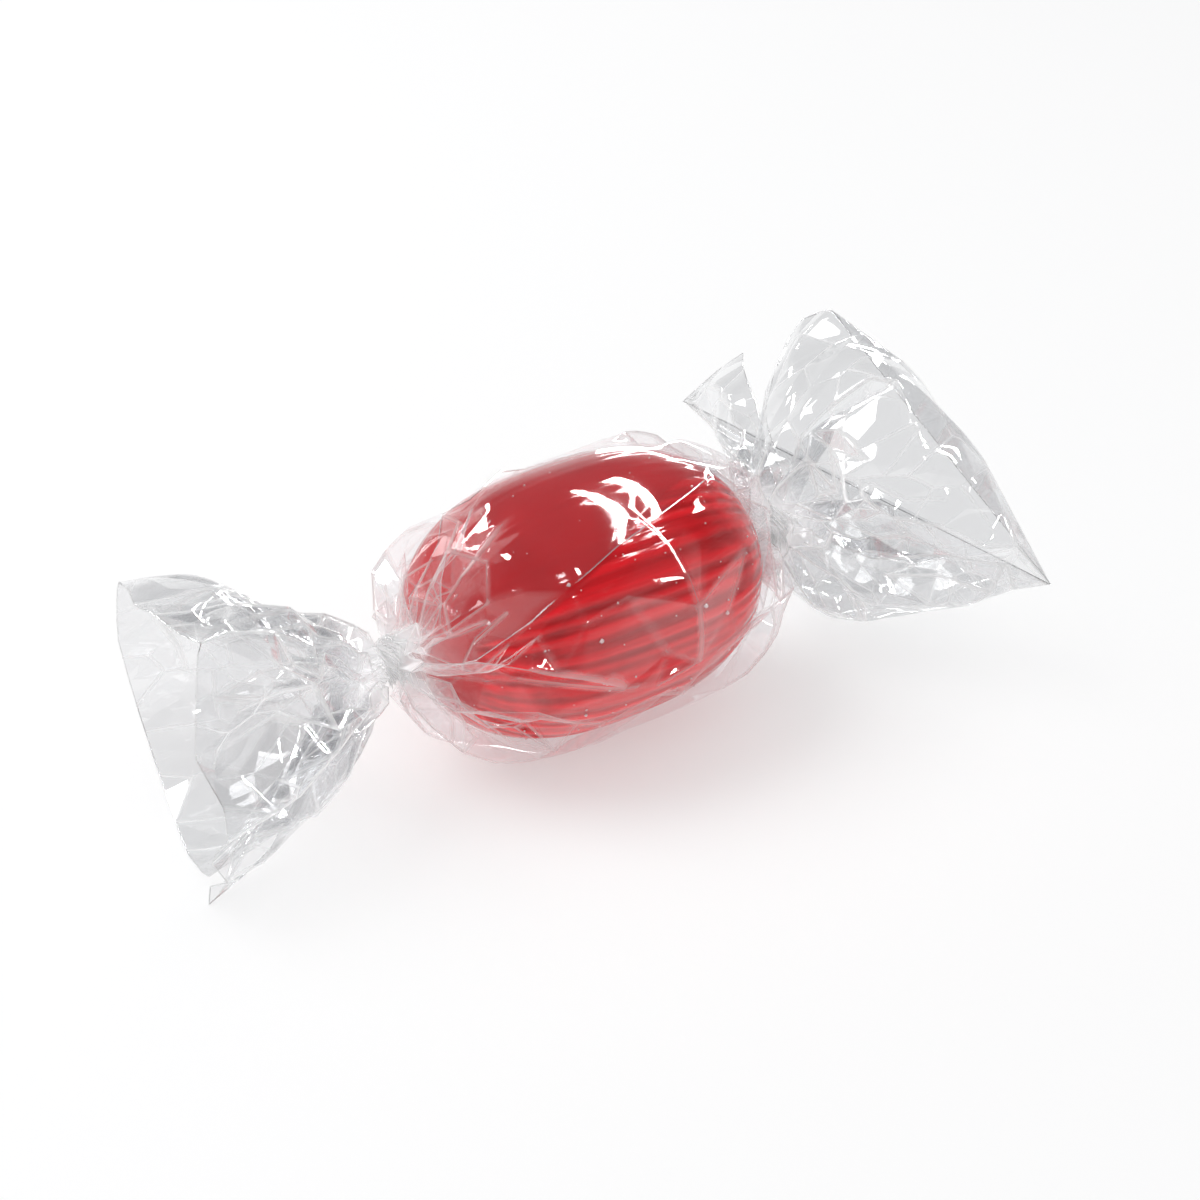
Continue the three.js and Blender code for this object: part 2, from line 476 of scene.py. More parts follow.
class Rods:
    """Pairs of points that are pulled to their distance on the flat sheet, as stiffly as stiff says."""

    def __init__(self, pairs, sheet, loose, stiff):
        rest = np.linalg.norm(sheet[:, pairs[:, 0]] - sheet[:, pairs[:, 1]], axis=0)
        self.turns = []
        for group in in_turns(pairs):
            a, b = pairs[group].T
            both = loose[a] + loose[b] + TINY
            share = stiff[group] / both
            self.turns.append((a, b, rest[group], loose[a] * share, loose[b] * share))

    def hold(self, X):
        for a, b, rest, share_a, share_b in self.turns:
            gap = X[:, b] - X[:, a]
            length = np.sqrt((gap * gap).sum(0)) + TINY
            gap *= 1 - rest / length
            X[:, a] += gap * share_a
            X[:, b] -= gap * share_b


def push_off_sweet(X):
    """Moves the points that are inside the sweet, or too near to it, out to where film may lie on it."""
    x, y, z = X[0], X[1], X[2] - AXIS_HEIGHT
    a = SWEET_HALF_LENGTH + FILM_GAP
    b = SWEET_RADIUS + FILM_GAP
    inside = (np.abs(x) / a) ** SWEET_BLUNTNESS + (y * y + z * z) / (b * b) < 1
    x, y, z = x[inside], y[inside], z[inside]
    lack = 1 - (np.abs(x) / a) ** SWEET_BLUNTNESS - (y * y + z * z) / (b * b)
    gx = SWEET_BLUNTNESS * np.sign(x) * (np.abs(x) / a) ** (SWEET_BLUNTNESS - 1) / a
    gy = 2 * y / (b * b)
    gz = 2 * z / (b * b)
    step = lack / (gx * gx + gy * gy + gz * gz + TINY)
    X[0][inside] = x + gx * step
    X[1][inside] = y + gy * step
    X[2][inside] = z + gz * step + AXIS_HEIGHT


def folding_stiffness(corners, ridges, across, folded_at, rng):
    """How hard each edge between two triangles is to fold. A ridge isn't hard to fold at all."""
    flat = rng.uniform(0, 1, len(across)) < STIFF_SHARE
    middle = np.abs(corners[0][across]).mean(1) < HALF_BELLY - FOLDED_END
    stiff = np.where(flat | middle, STIFF, LIMP)
    on_ridge = {(min(pair), max(pair)) for pair in ridges}
    stiff[[edge in on_ridge for edge in folded_at]] = 0.0
    return stiff


def fold_film():
    """The film's corners folded round the sweet, its triangles, and its corners on the flat sheet."""
    rng = np.random.default_rng(SEED)
    corners, ridges = sheet_corners(rng)
    faces = triangles_of(corners, ridges)
    edges, across, folded_at = edges_of(faces)
    sheet = np.stack([corners[0], corners[1] * FILM_WIDTH])
    guide = first_shape(corners)
    beyond = distance_from_twist(corners[0])
    loose = np.where(beyond <= 0, 0.0, 1.0)
    on_belly = np.abs(corners[0]) < HALF_BELLY
    rods = Rods(edges, sheet, loose, np.ones(len(edges)))
    stiff = folding_stiffness(corners, ridges, across, folded_at, rng)
    bends = Rods(across, sheet, loose, stiff)
    close = near_edges(corners[1])
    cling = CLING * close * smooth((beyond - CLING_FROM) / CLING_EASE) * on_belly
    cling[corners[3] < 0] = CLING
    X = guide.copy()
    jolt = np.where(on_belly, BELLY_JOLT * (1 - close), WING_JOLT) * smooth(beyond / JOLT_EASE)
    X += rng.normal(0, 1, X.shape) * jolt * loose
    for turn in range(FILM_ROUNDS):
        pull = LAST_PULL
        if turn < FILM_ROUNDS // 3:
            pull = FIRST_PULL
        elif turn < FILM_ROUNDS * LAST_ROUNDS:
            pull = SECOND_PULL
        X += (guide - X) * (np.maximum(pull, cling) * loose)
        bends.hold(X)
        rods.hold(X)
        push_off_sweet(X)
        np.maximum(X[2], FLOOR_GAP, out=X[2])
    raise_ridges(X, guide, corners)
    return X, faces, corners


def raise_ridges(X, guide, corners):
    """Lifts the ridges to their full height off the sweet, which the solver's rods have lowered."""
    ridge = corners[3] < 0
    y, z = X[1, ridge], X[2, ridge] - AXIS_HEIGHT
    wanted = np.hypot(guide[1, ridge], guide[2, ridge] - AXIS_HEIGHT)
    share = np.maximum(wanted / np.hypot(y, z), 1)
    X[1, ridge] = y * share
    X[2, ridge] = z * share + AXIS_HEIGHT


# ---------------------------------------------------------------- the film's mesh


def face_normals(X, faces):
    a, b, c = (X[:, faces[:, k]] for k in range(3))
    n = np.cross(b - a, c - a, axis=0)
    return n / (np.sqrt((n * n).sum(0)) + 1e-12)


def corner_normals(X, faces):
    """At each corner of each triangle, the mean normal of the triangles there that nearly face its way."""
    n = face_normals(X, faces)
    around = [[] for _ in range(X.shape[1])]
    for number, face in enumerate(faces.tolist()):
        for corner in face:
            around[corner].append(number)
    most = max(len(a) for a in around)
    table = np.array([a + [a[0]] * (most - len(a)) for a in around])
    real = np.array([[1.0] * len(a) + [0.0] * (most - len(a)) for a in around])
    result = np.zeros((3, len(faces), 3))
    for k in range(3):
        near = table[faces[:, k]]
        others = n[:, near]
        alike = np.clip((others * n[:, :, None]).sum(0), 0, 1) ** ALIKE_POWER * real[faces[:, k]]
        total = (others * alike[None]).sum(2)
        result[:, :, k] = total / (np.sqrt((total * total).sum(0)) + 1e-12)
    return result


def division(count):
    """A triangle divided count times along each side, with the rows close together along its edges: the
    share of each corner at each point, the points' places in the rows, and the small triangles."""
    spots = [(i, j, count - i - j) for i in range(count + 1) for j in range(count + 1 - i)]
    number = {spot: n for n, spot in enumerate(spots)}
    shares = np.array(spots) / count
    eased = shares * shares * (3 - 2 * shares)
    eased = (1 - EDGE_CLOSENESS) * shares + EDGE_CLOSENESS * eased
    eased /= eased.sum(1, keepdims=True)
    small = []
    for i, j, k in spots:
        if k > 0:
            small.append((number[i, j, k], number[i + 1, j, k - 1], number[i, j + 1, k - 1]))
        if k > 0 and i > 0:
            small.append((number[i, j, k], number[i, j + 1, k - 1], number[i - 1, j + 1, k]))
    return eased, spots, np.array(small)


def refine(X, faces, count):
    """The film with each triangle divided, and rounded towards its neighbours where they nearly face one
    way: its points, its small triangles, and for spread() the points and shares in each triangle."""
    shares, spots, small = division(count)
    corner = X[:, faces]
    normal = corner_normals(X, faces)
    flat = np.einsum("dfk,pk->dfp", corner, shares)
    curved = np.zeros_like(flat)
    for k in range(3):
        offset = flat - corner[:, :, k][:, :, None]
        height = (offset * normal[:, :, k][:, :, None]).sum(0)
        curved += shares[:, k] * (flat - height[None] * normal[:, :, k][:, :, None])
    rounded = flat + ROUNDNESS * (curved - flat)
    # points on shared edges are one point, at the mean of their places
    keys = {}
    index = np.zeros((len(faces), len(spots)), int)
    for f, face in enumerate(faces.tolist()):
        for p, spot in enumerate(spots):
            key = tuple(sorted((v, s) for v, s in zip(face, spot) if s))
            if len(key) == 3:
                key = (f, p)
            index[f, p] = keys.setdefault(key, len(keys))
    total = np.zeros((3, len(keys)))
    times = np.zeros(len(keys))
    flat_index = index.ravel()
    for d in range(3):
        np.add.at(total[d], flat_index, rounded[d].ravel())
    np.add.at(times, flat_index, 1)
    return total / times, index[:, small].reshape(-1, 3), index, shares


def spread(count, index, values, shares):
    """Values at the corners of the film's triangles, at each of the count points of the divided film."""
    spots = np.einsum("dfk,pk->dfp", values, shares)
    result = np.zeros((len(values), count))
    for d in range(len(values)):
        result[d][index.ravel()] = spots[d].ravel()
    return result


def sharpness(X, faces):
    """0 where the film is flat, and towards 1 on a sharp fold."""
    n = face_normals(X, faces)
    total = np.zeros_like(X)
    times = np.zeros(X.shape[1])
    for k in range(3):
        for d in range(3):
            np.add.at(total[d], faces[:, k], n[d])
        np.add.at(times, faces[:, k], 1)
    return 1 - np.sqrt((total * total).sum(0)) / np.maximum(times, 1)


def gap_to_sweet(X):
    """How far the points are off the sweet's outline, nearly."""
    x, y, z = X[0], X[1], X[2] - AXIS_HEIGHT
    reach = (np.abs(x) / SWEET_HALF_LENGTH) ** SWEET_BLUNTNESS + (y * y + z * z) / SWEET_RADIUS**2
    return (np.sqrt(reach) - 1) * SWEET_RADIUS


# ---------------------------------------------------------------- meshes


def place(points):
    """Points of the solver, (3, ...), as a list of places in metres in the CAD's frame."""
    flat = points.reshape(3, -1).T.astype(float)
    return (flat + np.array([SWEET_MIDDLE[0], SWEET_MIDDLE[1], 0.0])) * MM


def new_mesh(name, points, faces, material):
    mesh = bpy.data.meshes.new(name)
    mesh.from_pydata(points.tolist(), [], faces.tolist())
    mesh.update()
    mesh.shade_smooth()
    mesh.materials.append(material)
    piece = bpy.data.objects.new(name, mesh)
    bpy.context.scene.collection.objects.link(piece)
    return piece


def add_values(piece, name, values):
    """Gives each point of a piece a number that its material reads."""
    attribute = piece.data.attributes.new(name, "FLOAT", "POINT")
    attribute.data.foreach_set("value", values.astype(np.float32))


def grid_faces(rows, cols):
    """The faces of a tube of points, whose rows run round it."""
    index = np.arange(rows * cols).reshape(rows, cols)
    index = np.concatenate([index, index[:, :1]], axis=1)
    return np.stack([index[:-1, :-1], index[1:, :-1], index[1:, 1:], index[:-1, 1:]], -1).reshape(-1, 4)


def draw_close(points, s, u):
    """Smooths the two laps of film over each other where they lie close on the sweet."""
    along = smooth((LAP_HALF_LENGTH - np.abs(s)) / LAP_END_EASE)
    outer = smooth((u - OUTER_LAP_FROM) / OUTER_LAP_EASE) * along
    inner = smooth((INNER_LAP_TO - u) / INNER_LAP_EASE) * along
    y, z = points[1], points[2] - AXIS_HEIGHT
    outline = belly_outline(points[0])
    pulled = outer * (outline + LAP_GAP) + inner * outline
    share = 1 - outer - inner + pulled / np.hypot(y, z)
    points[1] = y * share
    points[2] = z * share + AXIS_HEIGHT


def make_film(material):
    """The sheet of film. Also gives its folded corners and its triangles before they are divided."""
    X, faces, corners = fold_film()
    divisions = DIVISIONS
    points, small, index, shares = refine(X, faces, divisions)
    s, u = spread(points.shape[1], index, corners[:2][:, faces], shares)
    draw_close(points, s, u)
    push_off_sweet(points)
    np.maximum(points[2], FLOOR_GAP, out=points[2])
    film = new_mesh("film", place(points), small, material)
    # fold: how sharply the film is folded; the material whitens it, partly as stress and partly as painted
    # highlight
    add_values(film, "fold", np.clip(sharpness(points, small) * FOLD_WHITENS - FOLD_LEAST, 0, 1))
    beyond = distance_from_twist(s)
    on_belly = np.abs(s) < HALF_BELLY
    # gathered: nearness to a twist, where the material paints the film milky, partly painted light
    add_values(film, "gathered", bell(beyond / MILKY_REACH))
    # grey: the wings, which the material tints greyer, partly painted shade
    add_values(film, "grey", np.where(on_belly, 0.0, smooth((beyond - GREY_FROM) / GREY_EASE)))
    # haze: the outer lap on the belly, where the material paints a faint white veil, a painted reflection
    haze = on_belly * smooth((u - HAZE_FROM) / HAZE_EASE) * smooth(beyond / HAZE_END)
    add_values(film, "haze", haze)
    touching = 1 - smooth((gap_to_sweet(points) - FILM_GAP) / TOUCHING_EASE)
    add_values(film, "touching", touching * on_belly)
    add_values(film, "along", s * CREASES_ALONG)
    add_values(film, "across", u * FILM_WIDTH * CREASES_ACROSS)
    return film, X, faces


def cut_edge(faces):
    """The corners along the cut edge of the sheet, in order."""
    edge = {}
    for a, b, c in faces.tolist():
        for p, q in ((a, b), (b, c), (c, a)):
            if (q, p) in edge:
                del edge[(q, p)]
            else:
                edge[(p, q)] = True
    following = {p: q for p, q in edge}
    start = next(iter(following))
    order = [start]
    while following[order[-1]] != start:
        order.append(following[order[-1]])
    return order


def make_rim(X, faces, material):
    """The film's cut edge, a fine thread that catches the light."""
    path = X[:, cut_edge(faces)]
    ahead = np.roll(path, -1, 1) - np.roll(path, 1, 1)
    ahead = ahead / (np.linalg.norm(ahead, axis=0) + TINY)
    slanted = np.array([0.31, 0.52, 0.8])  # along none of the edge
    up = np.cross(ahead, slanted[:, None], axis=0)
    up = up / (np.linalg.norm(up, axis=0) + TINY)
    over = np.cross(ahead, up, axis=0)
    rings = []
    for k in range(RIM_SIDES):
        turn = TAU * k / RIM_SIDES
        rings.append(path + RIM_RADIUS * (up * math.cos(turn) + over * math.sin(turn)))
    points = np.stack(rings, -1)
    points = np.concatenate([points, points[:, :1]], 1)
    points[2] = np.maximum(points[2], RIM_FLOOR_GAP)
    return new_mesh("film_edge", place(points), grid_faces(points.shape[1], RIM_SIDES), material)


def make_sweet(material):
    """The boiled sweet, a blunt egg with fine grooves along it."""
    rng = np.random.default_rng(SWEET_SEED)
    rows, cols = SWEET_GRID
    t = np.linspace(-math.pi / 2, math.pi / 2, rows)
    angle = np.linspace(0, TAU, cols, endpoint=False)
    T, A = np.meshgrid(t, angle, indexing="ij")
    x = SWEET_HALF_LENGTH * np.sign(np.sin(T)) * np.abs(np.sin(T)) ** (2 / SWEET_BLUNTNESS)
    radius = SWEET_RADIUS * np.abs(np.cos(T))
    ridge = np.zeros_like(A)
    for count in GROOVE_COUNTS:
        bend = rng.uniform(0.3, 0.9) * np.sin(T * rng.uniform(0.8, 2.0) + rng.uniform(0, TAU))
        ridge += np.sin(count * A + rng.uniform(0, TAU) + bend)
    edge = EDGE_AT[-1] + (EDGE_AT[1] - EDGE_AT[-1]) * smooth(0.5 + 0.5 * x / EDGE_REACH)
    below = (A - edge) % TAU
    wave = 0.25 * np.sin(0.9 * x + 1.0) * np.sin(2.3 * A)
    wet = smooth(below / WET_TOP_EASE) * smooth((WET_SPAN + wave - below) / WET_BOTTOM_EASE)
    wet = wet * smooth((WET_HALF_LENGTH - np.abs(x)) / WET_END_EASE)
    depth = DRY_GROOVES + (1 - DRY_GROOVES) * wet
    radius = radius - GROOVE_DEPTH * (2 + ridge * 0.5) * np.cos(T) ** 0.5 * depth
    points = np.stack([x, radius * np.cos(A), radius * np.sin(A) + AXIS_HEIGHT])
    sweet = new_mesh("sweet", place(points), grid_faces(rows, cols), material)
    # wet: the patch below the film's edge, where the grooves are deeper and the material paints a brighter
    # red, which is painted light
    add_values(sweet, "wet", wet.ravel())
    # crest: lighter along the grooves' crests and darker in their hollows, partly the sugar's own streaks
    # and partly painted shade in the grooves
    add_values(sweet, "crest", smooth(0.5 - 0.28 * ridge).ravel())
    return sweet


def make_bubbles(material):
    """The bubbles of air in the sweet's surface."""
    rng = np.random.default_rng(BUBBLE_SEED)
    tips = np.array([(0, 0, 1), (1, 0, 0), (0, 1, 0), (-1, 0, 0), (0, -1, 0), (0, 0, -1)], float)
    upper = [(0, k + 1, (k + 1) % 4 + 1) for k in range(4)]
    lower = [(5, (k + 1) % 4 + 1, k + 1) for k in range(4)]
    sides = np.array(upper + lower)
    points = []
    faces = []
    for number in range(BUBBLES):
        angle = rng.uniform(0, TAU)
        x = rng.uniform(-BUBBLE_REACH, BUBBLE_REACH) * SWEET_HALF_LENGTH
        radius = SWEET_RADIUS * math.sqrt(1 - abs(x / SWEET_HALF_LENGTH) ** SWEET_BLUNTNESS) - BUBBLE_SINK
        middle = np.array([x, radius * math.cos(angle), AXIS_HEIGHT + radius * math.sin(angle)])
        size = rng.uniform(*BUBBLE_SIZES) * (2.0 if rng.uniform() < BIG_BUBBLES else 1.0)
        points.append(middle + tips * size)
        faces.append(sides + len(tips) * number)
    points = np.concatenate(points).T
    return new_mesh("bubbles", place(points), np.concatenate(faces), material)


# ---------------------------------------------------------------- materials


def new_material(name):
    material = bpy.data.materials.new(name)
    material.use_nodes = True
    tree = material.node_tree
    tree.nodes.clear()
    out = tree.nodes.new("ShaderNodeOutputMaterial")
    return material, tree.nodes, tree.links, out


def attribute_value(nodes, name):
    node = nodes.new("ShaderNodeAttribute")
    node.attribute_name = name
    return node.outputs["Fac"]


def sum_of(nodes, links, value, factor, addend, clamp=False):
    """value * factor + addend. factor and addend are numbers or sockets."""
    node = nodes.new("ShaderNodeMath")
    node.operation = "MULTIPLY_ADD"
    node.use_clamp = clamp
    links.new(value, node.inputs[0])
    for place_in, given in ((1, factor), (2, addend)):
        if isinstance(given, (int, float)):
            node.inputs[place_in].default_value = given
        else:
            links.new(given, node.inputs[place_in])
    return node.outputs["Value"]


def noise_of(nodes, links, position, scale, detail):
    noise = nodes.new("ShaderNodeTexNoise")
    noise.inputs["Scale"].default_value = scale
    noise.inputs["Detail"].default_value = detail
    links.new(position, noise.inputs["Vector"])
    return noise.outputs["Fac"]


def colour_between(nodes, links, value, low, high):
    """A colour that goes from one to another. low and high are each a value and the colour there."""
    ramp = nodes.new("ShaderNodeValToRGB")
    for stop, (at, colour) in zip(ramp.color_ramp.elements, (low, high)):
        stop.position = at
        stop.color = (*colour, 1)
    links.new(value, ramp.inputs["Fac"])
    return ramp.outputs["Color"]


def bump_of(nodes, links, height, distance, strength, normal=None):
    """A normal for a height. strength is a number or a socket."""
    bump = nodes.new("ShaderNodeBump")
    bump.inputs["Distance"].default_value = distance
    if isinstance(strength, (int, float)):
        bump.inputs["Strength"].default_value = strength
    else:
        links.new(strength, bump.inputs["Strength"])
    if normal:
        links.new(normal, bump.inputs["Normal"])
    links.new(height, bump.inputs["Height"])
    return bump.outputs["Normal"]


def mixed(nodes, links, share, first, second):
    """Two shaders mixed. share is a number or a socket, and 1 is all of the second."""
    mix = nodes.new("ShaderNodeMixShader")
    if isinstance(share, (int, float)):
        mix.inputs["Fac"].default_value = share
    else:
        links.new(share, mix.inputs["Fac"])
    links.new(first, mix.inputs[1])
    links.new(second, mix.inputs[2])
    return mix.outputs["Shader"]


def plain_shader(nodes, kind, colour):
    """A shader of one colour."""
    shader = nodes.new(kind)
    shader.inputs["Color"].default_value = (*colour, 1)
    return shader


def let_light_by(nodes, links, shader, share):
    """Light on its way to what lies behind a clear surface passes it by its plain share, which is quick."""
    path = nodes.new("ShaderNodeLightPath")
    clear = plain_shader(nodes, "ShaderNodeBsdfTransparent", (share, share, share))
    return mixed(nodes, links, path.outputs["Is Shadow Ray"], shader, clear.outputs["BSDF"])


def crinkle_of(nodes, links, noise, normal, grey):
    """The small flat facets of film that has been gathered, as a normal, and the fine white creases between
    them, both laid out on the flat sheet. The creases' white is partly stress in the film and partly
    painted highlight. They are for the film beyond the sweet, where grey is 1."""
    on_sheet = nodes.new("ShaderNodeCombineXYZ")
    cells = nodes.new("ShaderNodeTexVoronoi")
    cells.voronoi_dimensions = "2D"
    cells.feature = "DISTANCE_TO_EDGE"
    cells.inputs["Scale"].default_value = 1.0
    line = nodes.new("ShaderNodeMapRange")
    line.inputs["From Min"].default_value = 0.0
    line.inputs["From Max"].default_value = 0.05
    line.inputs["To Max"].default_value = 0.0
    links.new(attribute_value(nodes, "along"), on_sheet.inputs["X"])
    links.new(attribute_value(nodes, "across"), on_sheet.inputs["Y"])
    links.new(on_sheet.outputs["Vector"], cells.inputs["Vector"])
    links.new(cells.outputs["Distance"], line.inputs["Value"])
    links.new(sum_of(nodes, links, noise, 2.2, -0.75, clamp=True), line.inputs["To Min"])
    strength = sum_of(nodes, links, grey, 0.55, 0.0)
    facets = bump_of(nodes, links, cells.outputs["Distance"], 0.0009, strength, normal)
    return facets, line.outputs["Result"]


def film_material():
    """Clear film: what it doesn't mirror goes straight through, a little greyer in the wings, partly as
    painted shade, and it is white in its creases, partly with stress and partly as painted highlight, milky
    in the twists, partly as painted light, and faintly veiled on the outer lap, a painted reflection."""
    material, nodes, links, out = new_material("film")
    grey = attribute_value(nodes, "grey")
    coordinates = nodes.new("ShaderNodeTexCoord")
    noise = noise_of(nodes, links, coordinates.outputs["Object"], 260, 3)
    ripples = bump_of(nodes, links, noise, 0.0002, 0.12)
    facets, crease = crinkle_of(nodes, links, noise, ripples, grey)
    clear = nodes.new("ShaderNodeBsdfTransparent")
    # partly painted shade: the tint turns greyer in the wings, partly the film's own slight tint and partly
    # the shade of its layered folds
    tint = colour_between(nodes, links, grey, (0.0, (0.985, 0.98, 0.985)), (1.0, (0.86, 0.864, 0.872)))
    links.new(tint, clear.inputs["Color"])
    gloss = plain_shader(nodes, "ShaderNodeBsdfGlossy", (1, 1, 1))
    gloss.inputs["Roughness"].default_value = 0.04
    links.new(facets, gloss.inputs["Normal"])
    slant = nodes.new("ShaderNodeLayerWeight")
    slant.inputs["Blend"].default_value = 0.5
    links.new(facets, slant.inputs["Normal"])
    steep = nodes.new("ShaderNodeMath")
    steep.operation = "POWER"
    steep.inputs[1].default_value = 3.5
    links.new(slant.outputs["Facing"], steep.inputs[0])
    # how much it mirrors: a base share, which is less where it touches the sweet, and more at a slant
    base = sum_of(nodes, links, grey, 0.07, 0.09)
    base = sum_of(nodes, links, attribute_value(nodes, "touching"), -0.06, base)
    grazing = sum_of(nodes, links, grey, 0.34, 0.44)
    mirrored = sum_of(nodes, links, steep.outputs["Value"], grazing, base, clamp=True)
    film = mixed(nodes, links, mirrored, clear.outputs["BSDF"], gloss.outputs["BSDF"])
    # how white it is: partly stress in the folds and creases, and partly painted light: highlights along
    # folds and creases, light in the twists and a reflected veil on the outer lap
    through = plain_shader(nodes, "ShaderNodeBsdfTranslucent", (0.95, 0.95, 0.95))
    pale = plain_shader(nodes, "ShaderNodeBsdfDiffuse", (0.95, 0.95, 0.95))
    white = mixed(nodes, links, 0.4, through.outputs["BSDF"], pale.outputs["BSDF"])
    # milky white near the twists: partly the bunched film's own whitening, partly painted light standing
    # for light scattered between its layers
    milk_and_painted_light = sum_of(nodes, links, attribute_value(nodes, "gathered"), 0.44, 0.0)
    # painted reflection: a faint white veil on the outer lap, for light mirrored in the gap between film
    # and sweet
    milk_and_painted_light = sum_of(nodes, links, attribute_value(nodes, "haze"), 0.012, milk_and_painted_light)
    # the fine crease lines in the wings: partly stress whitening, partly painted highlight
    milk_and_painted_light = sum_of(nodes, links, crease, grey, milk_and_painted_light)
    # white along sharp folds: partly stress whitening, partly painted highlight on the folds' ridges
    whitened = sum_of(nodes, links, grey, 0.3, 0.55)
    whiteness = sum_of(nodes, links, attribute_value(nodes, "fold"), whitened, milk_and_painted_light, clamp=True)
    film = mixed(nodes, links, whiteness, film, white)
    links.new(let_light_by(nodes, links, film, 0.94), out.inputs["Surface"])
    return material


def rim_material():
    """The cut edge of clear film, half of which mirrors."""
    material, nodes, links, out = new_material("film_edge")
    clear = plain_shader(nodes, "ShaderNodeBsdfTransparent", (0.9, 0.9, 0.9))
    gloss = plain_shader(nodes, "ShaderNodeBsdfGlossy", (1, 1, 1))
    gloss.inputs["Roughness"].default_value = 0.15
    edge = mixed(nodes, links, 0.5, clear.outputs["BSDF"], gloss.outputs["BSDF"])
    links.new(let_light_by(nodes, links, edge, 0.8), out.inputs["Surface"])
    return material


def sweet_material():
    """Boiled sugar: bright pulled streaks where it is wet, and a plainer, slightly cloudy red elsewhere.
    The streaks are the sugar's own, with painted shade in the grooves, and the brighter, more vivid red of
    the wet patch is painted light.
    """
    material, nodes, links, out = new_material("sweet")
    shader = nodes.new("ShaderNodeBsdfPrincipled")
    shader.inputs["Roughness"].default_value = 0.06
    shader.inputs["IOR"].default_value = 1.5
    shader.inputs["Specular IOR Level"].default_value = 0.4
    shader.inputs["Subsurface Weight"].default_value = 0.12
    shader.inputs["Subsurface Radius"].default_value = (1.0, 0.12, 0.1)
    shader.inputs["Subsurface Scale"].default_value = 0.0012
    wet = attribute_value(nodes, "wet")
    coordinates = nodes.new("ShaderNodeTexCoord")
    stretch = nodes.new("ShaderNodeMapping")
    stretch.inputs["Scale"].default_value = (85, 1100, 1100)
    links.new(coordinates.outputs["Object"], stretch.inputs["Vector"])
    fibres = noise_of(nodes, links, stretch.outputs["Vector"], 1.0, 3)
    cloud = noise_of(nodes, links, coordinates.outputs["Object"], 140, 2)
    uneven = sum_of(nodes, links, fibres, 0.85, -0.05)
    # partly painted shade: crests come out lighter and grooves darker, partly the sugar's own streaks
    bright = sum_of(nodes, links, attribute_value(nodes, "crest"), 0.3, uneven)
    # painted light: the wet patch's red runs brighter and more vivid than the plain red elsewhere
    deep, vivid = (0.46, 0.003, 0.006), (0.96, 0.014, 0.024)
    streaks = colour_between(nodes, links, bright, (0.25, deep), (0.75, vivid))
    dark, light = (0.50, 0.004, 0.008), (0.66, 0.008, 0.014)
    plain = colour_between(nodes, links, cloud, (0.3, dark), (0.7, light))
    mix = nodes.new("ShaderNodeMix")
    mix.data_type = "RGBA"
    links.new(wet, mix.inputs["Factor"])
    links.new(plain, mix.inputs["A"])
    links.new(streaks, mix.inputs["B"])
    links.new(mix.outputs["Result"], shader.inputs["Base Color"])
    strength = sum_of(nodes, links, wet, 0.7, 0.0)
    links.new(bump_of(nodes, links, fibres, 0.00025, strength), shader.inputs["Normal"])
    links.new(shader.outputs["BSDF"], out.inputs["Surface"])
    return material


def bubble_material():
    """Pale and glossy, as air under the sweet's skin looks."""
    material, nodes, links, out = new_material("bubbles")
    shader = nodes.new("ShaderNodeBsdfPrincipled")
    shader.inputs["Base Color"].default_value = (0.95, 0.75, 0.75, 1)
    shader.inputs["Roughness"].default_value = 0.1
    links.new(shader.outputs["BSDF"], out.inputs["Surface"])
    return material


def floor_material():
    """White, and lit a little from inside like a light table, so that shadows on it stay pale."""
    material, nodes, links, out = new_material("floor")
    shader = nodes.new("ShaderNodeBsdfPrincipled")
    shader.inputs["Base Color"].default_value = (0.53, 0.53, 0.53, 1)
    shader.inputs["Roughness"].default_value = 1.0
    shader.inputs["Specular IOR Level"].default_value = 0.0
    shader.inputs["Emission Color"].default_value = (1, 1, 1, 1)
    shader.inputs["Emission Strength"].default_value = 0.45
    links.new(shader.outputs["BSDF"], out.inputs["Surface"])
    return material


# ---------------------------------------------------------------- setting


def aim(thing, target):
    direction = Vector(target) - thing.location
    thing.rotation_euler = direction.to_track_quat("-Z", "Y").to_euler()


def area_light(name, place_at, target, size, power):
    light = bpy.data.lights.new(name, "AREA")
    light.shape = "RECTANGLE"
    light.size, light.size_y = size
    light.energy = power
    lamp = bpy.data.objects.new(name, light)
    lamp.location = place_at
    bpy.context.scene.collection.objects.link(lamp)
    aim(lamp, target)
    return lamp


def add_camera():
    """The camera, at the photo's viewing angle."""
    azimuth, elevation = math.radians(CAMERA_AZIMUTH), math.radians(CAMERA_ELEVATION)
    target = Vector(CAMERA_TARGET)
    level = math.cos(elevation)
    away = Vector((math.sin(azimuth) * level, -math.cos(azimuth) * level, math.sin(elevation)))
    camera = bpy.data.cameras.new("camera")
    camera.lens = CAMERA_LENS
    camera.sensor_width = CAMERA_SENSOR
    camera.clip_start = 0.005
    holder = bpy.data.objects.new("camera", camera)
    holder.location = target + away * CAMERA_DISTANCE
    bpy.context.scene.collection.objects.link(holder)
    aim(holder, target)
    bpy.context.scene.camera = holder


def add_world():
    """A pale horizon under a darker ceiling, which is what glossy film mirrors in a studio."""
    world = bpy.data.worlds.new("world")
    bpy.context.scene.world = world
    world.use_nodes = True
    nodes = world.node_tree.nodes
    links = world.node_tree.links
    background = nodes["Background"]
    coordinates = nodes.new("ShaderNodeTexCoord")
    split = nodes.new("ShaderNodeSeparateXYZ")
    links.new(coordinates.outputs["Generated"], split.inputs["Vector"])
    horizon, ceiling = (0.88, 0.88, 0.88), (0.17, 0.173, 0.18)
    sky = colour_between(nodes, links, split.outputs["Z"], (0.0, horizon), (0.45, ceiling))
    links.new(sky, background.inputs["Color"])
    background.inputs["Strength"].default_value = 1.0


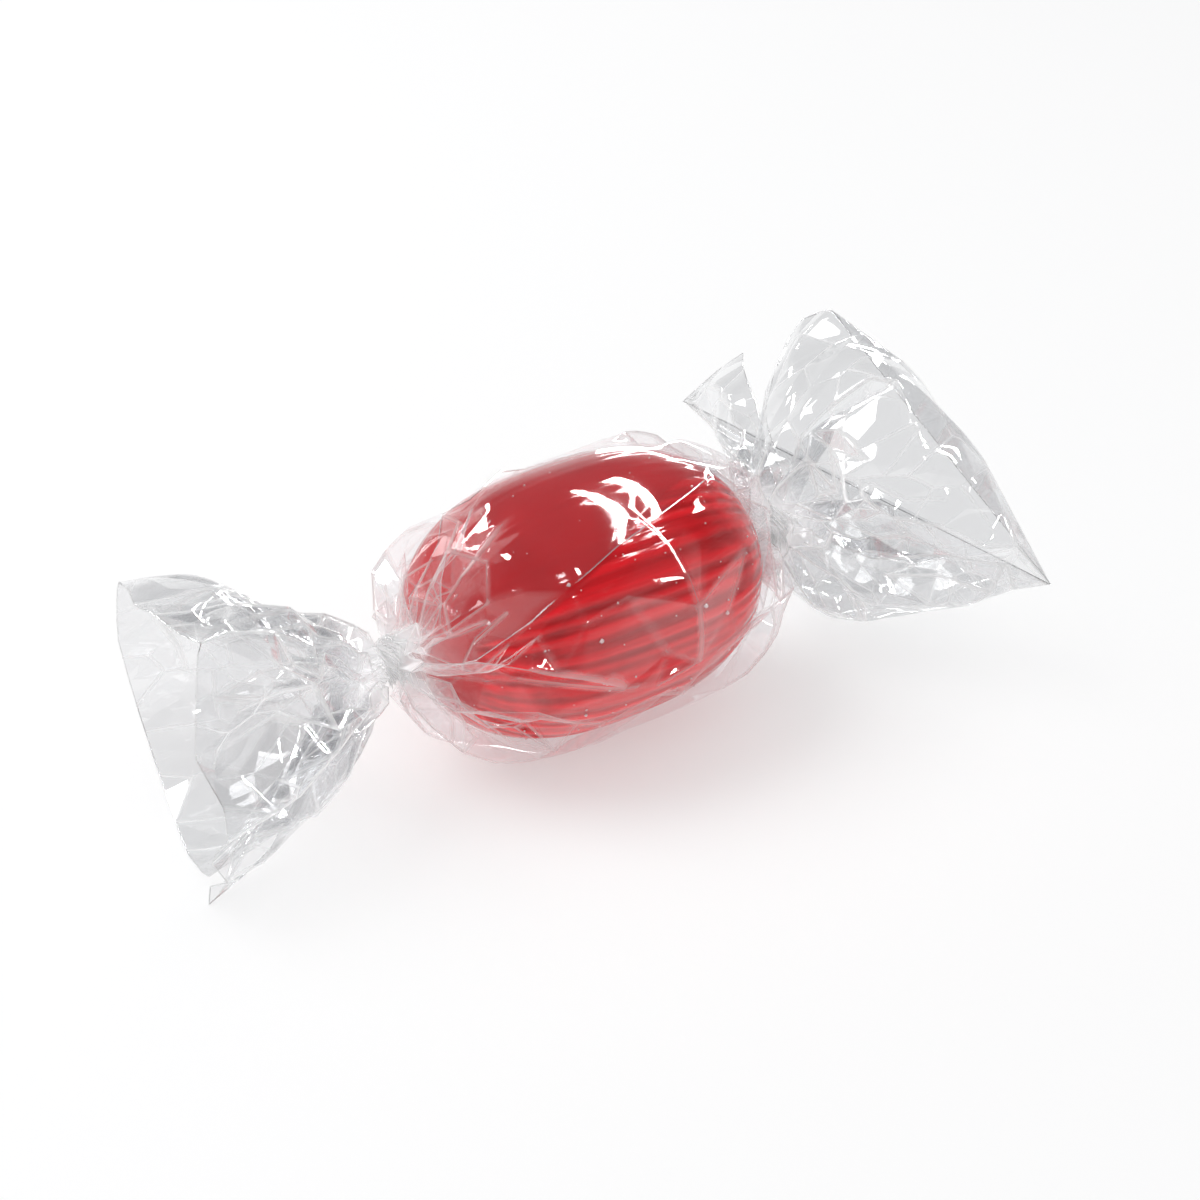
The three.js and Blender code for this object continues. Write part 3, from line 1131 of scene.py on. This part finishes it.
def add_floor(material):
    points = FLOOR_REACH * np.array([[-1, -1, 0], [1, -1, 0], [1, 1, 0], [-1, 1, 0]], float)
    floor = new_mesh("floor", points, np.array([[0, 1, 2, 3]]), material)
    floor.location.z = -FLOOR_SINK


def add_fill():
    """Even light from a wide sky, which no surface mirrors."""
    light = bpy.data.lights.new("fill", "SUN")
    light.energy = 1.45
    light.angle = math.radians(110)
    lamp = bpy.data.objects.new("fill", light)
    lamp.visible_glossy = False
    bpy.context.scene.collection.objects.link(lamp)


def add_lights():
    """A soft key light and fill, and narrow lights that only glossy surfaces show: two bars on the belly,
    and small ones for the film's edges and folds."""
    area_light("key", (-0.20, 0.22, 0.42), (0, 0, 0), (0.3, 0.3), 1.2)
    add_fill()
    bars = [
        area_light("bar_near", (0.180, 0.02, 0.33), (0, 0.02, 0.01), (0.36, 0.007), 0.5),
        area_light("bar_far", (0.216, 0.02, 0.31), (0, 0.02, 0.01), (0.36, 0.015), 0.9),
        area_light("spot", (0.0, -0.24, 0.32), (0, 0, 0.01), (0.03, 0.03), 0.1),
        area_light("low_left", (-0.37, 0.12, 0.09), (0, 0, 0.01), (0.10, 0.02), 0.16),
        area_light("low_back", (0.28, 0.29, 0.05), (0, 0, 0.01), (0.16, 0.03), 0.35),
        area_light("high_back", (-0.02, 0.34, 0.20), (0, 0, 0.01), (0.12, 0.015), 0.16),
    ]
    for bar in bars:
        bar.visible_diffuse = False
        bar.visible_camera = False


def set_look():
    scene = bpy.context.scene
    scene.view_settings.view_transform = "Standard"
    scene.view_settings.look = "None"
    scene.view_settings.exposure = 0
    scene.cycles.max_bounces = 12
    scene.cycles.transparent_max_bounces = 40
    scene.cycles.glossy_bounces = 4
    scene.cycles.sample_clamp_indirect = 6


def main():
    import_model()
    film, X, faces = make_film(film_material())
    pieces = [
        (film, "film"),
        (make_rim(X, faces, rim_material()), "film"),
        (make_sweet(sweet_material()), "sweet"),
        (make_bubbles(bubble_material()), "sweet"),
    ]
    for piece, slot in pieces:
        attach(piece, "root")
        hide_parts("wrapped_candy")
    add_camera()
    add_world()
    add_floor(floor_material())
    add_lights()
    set_look()


main()
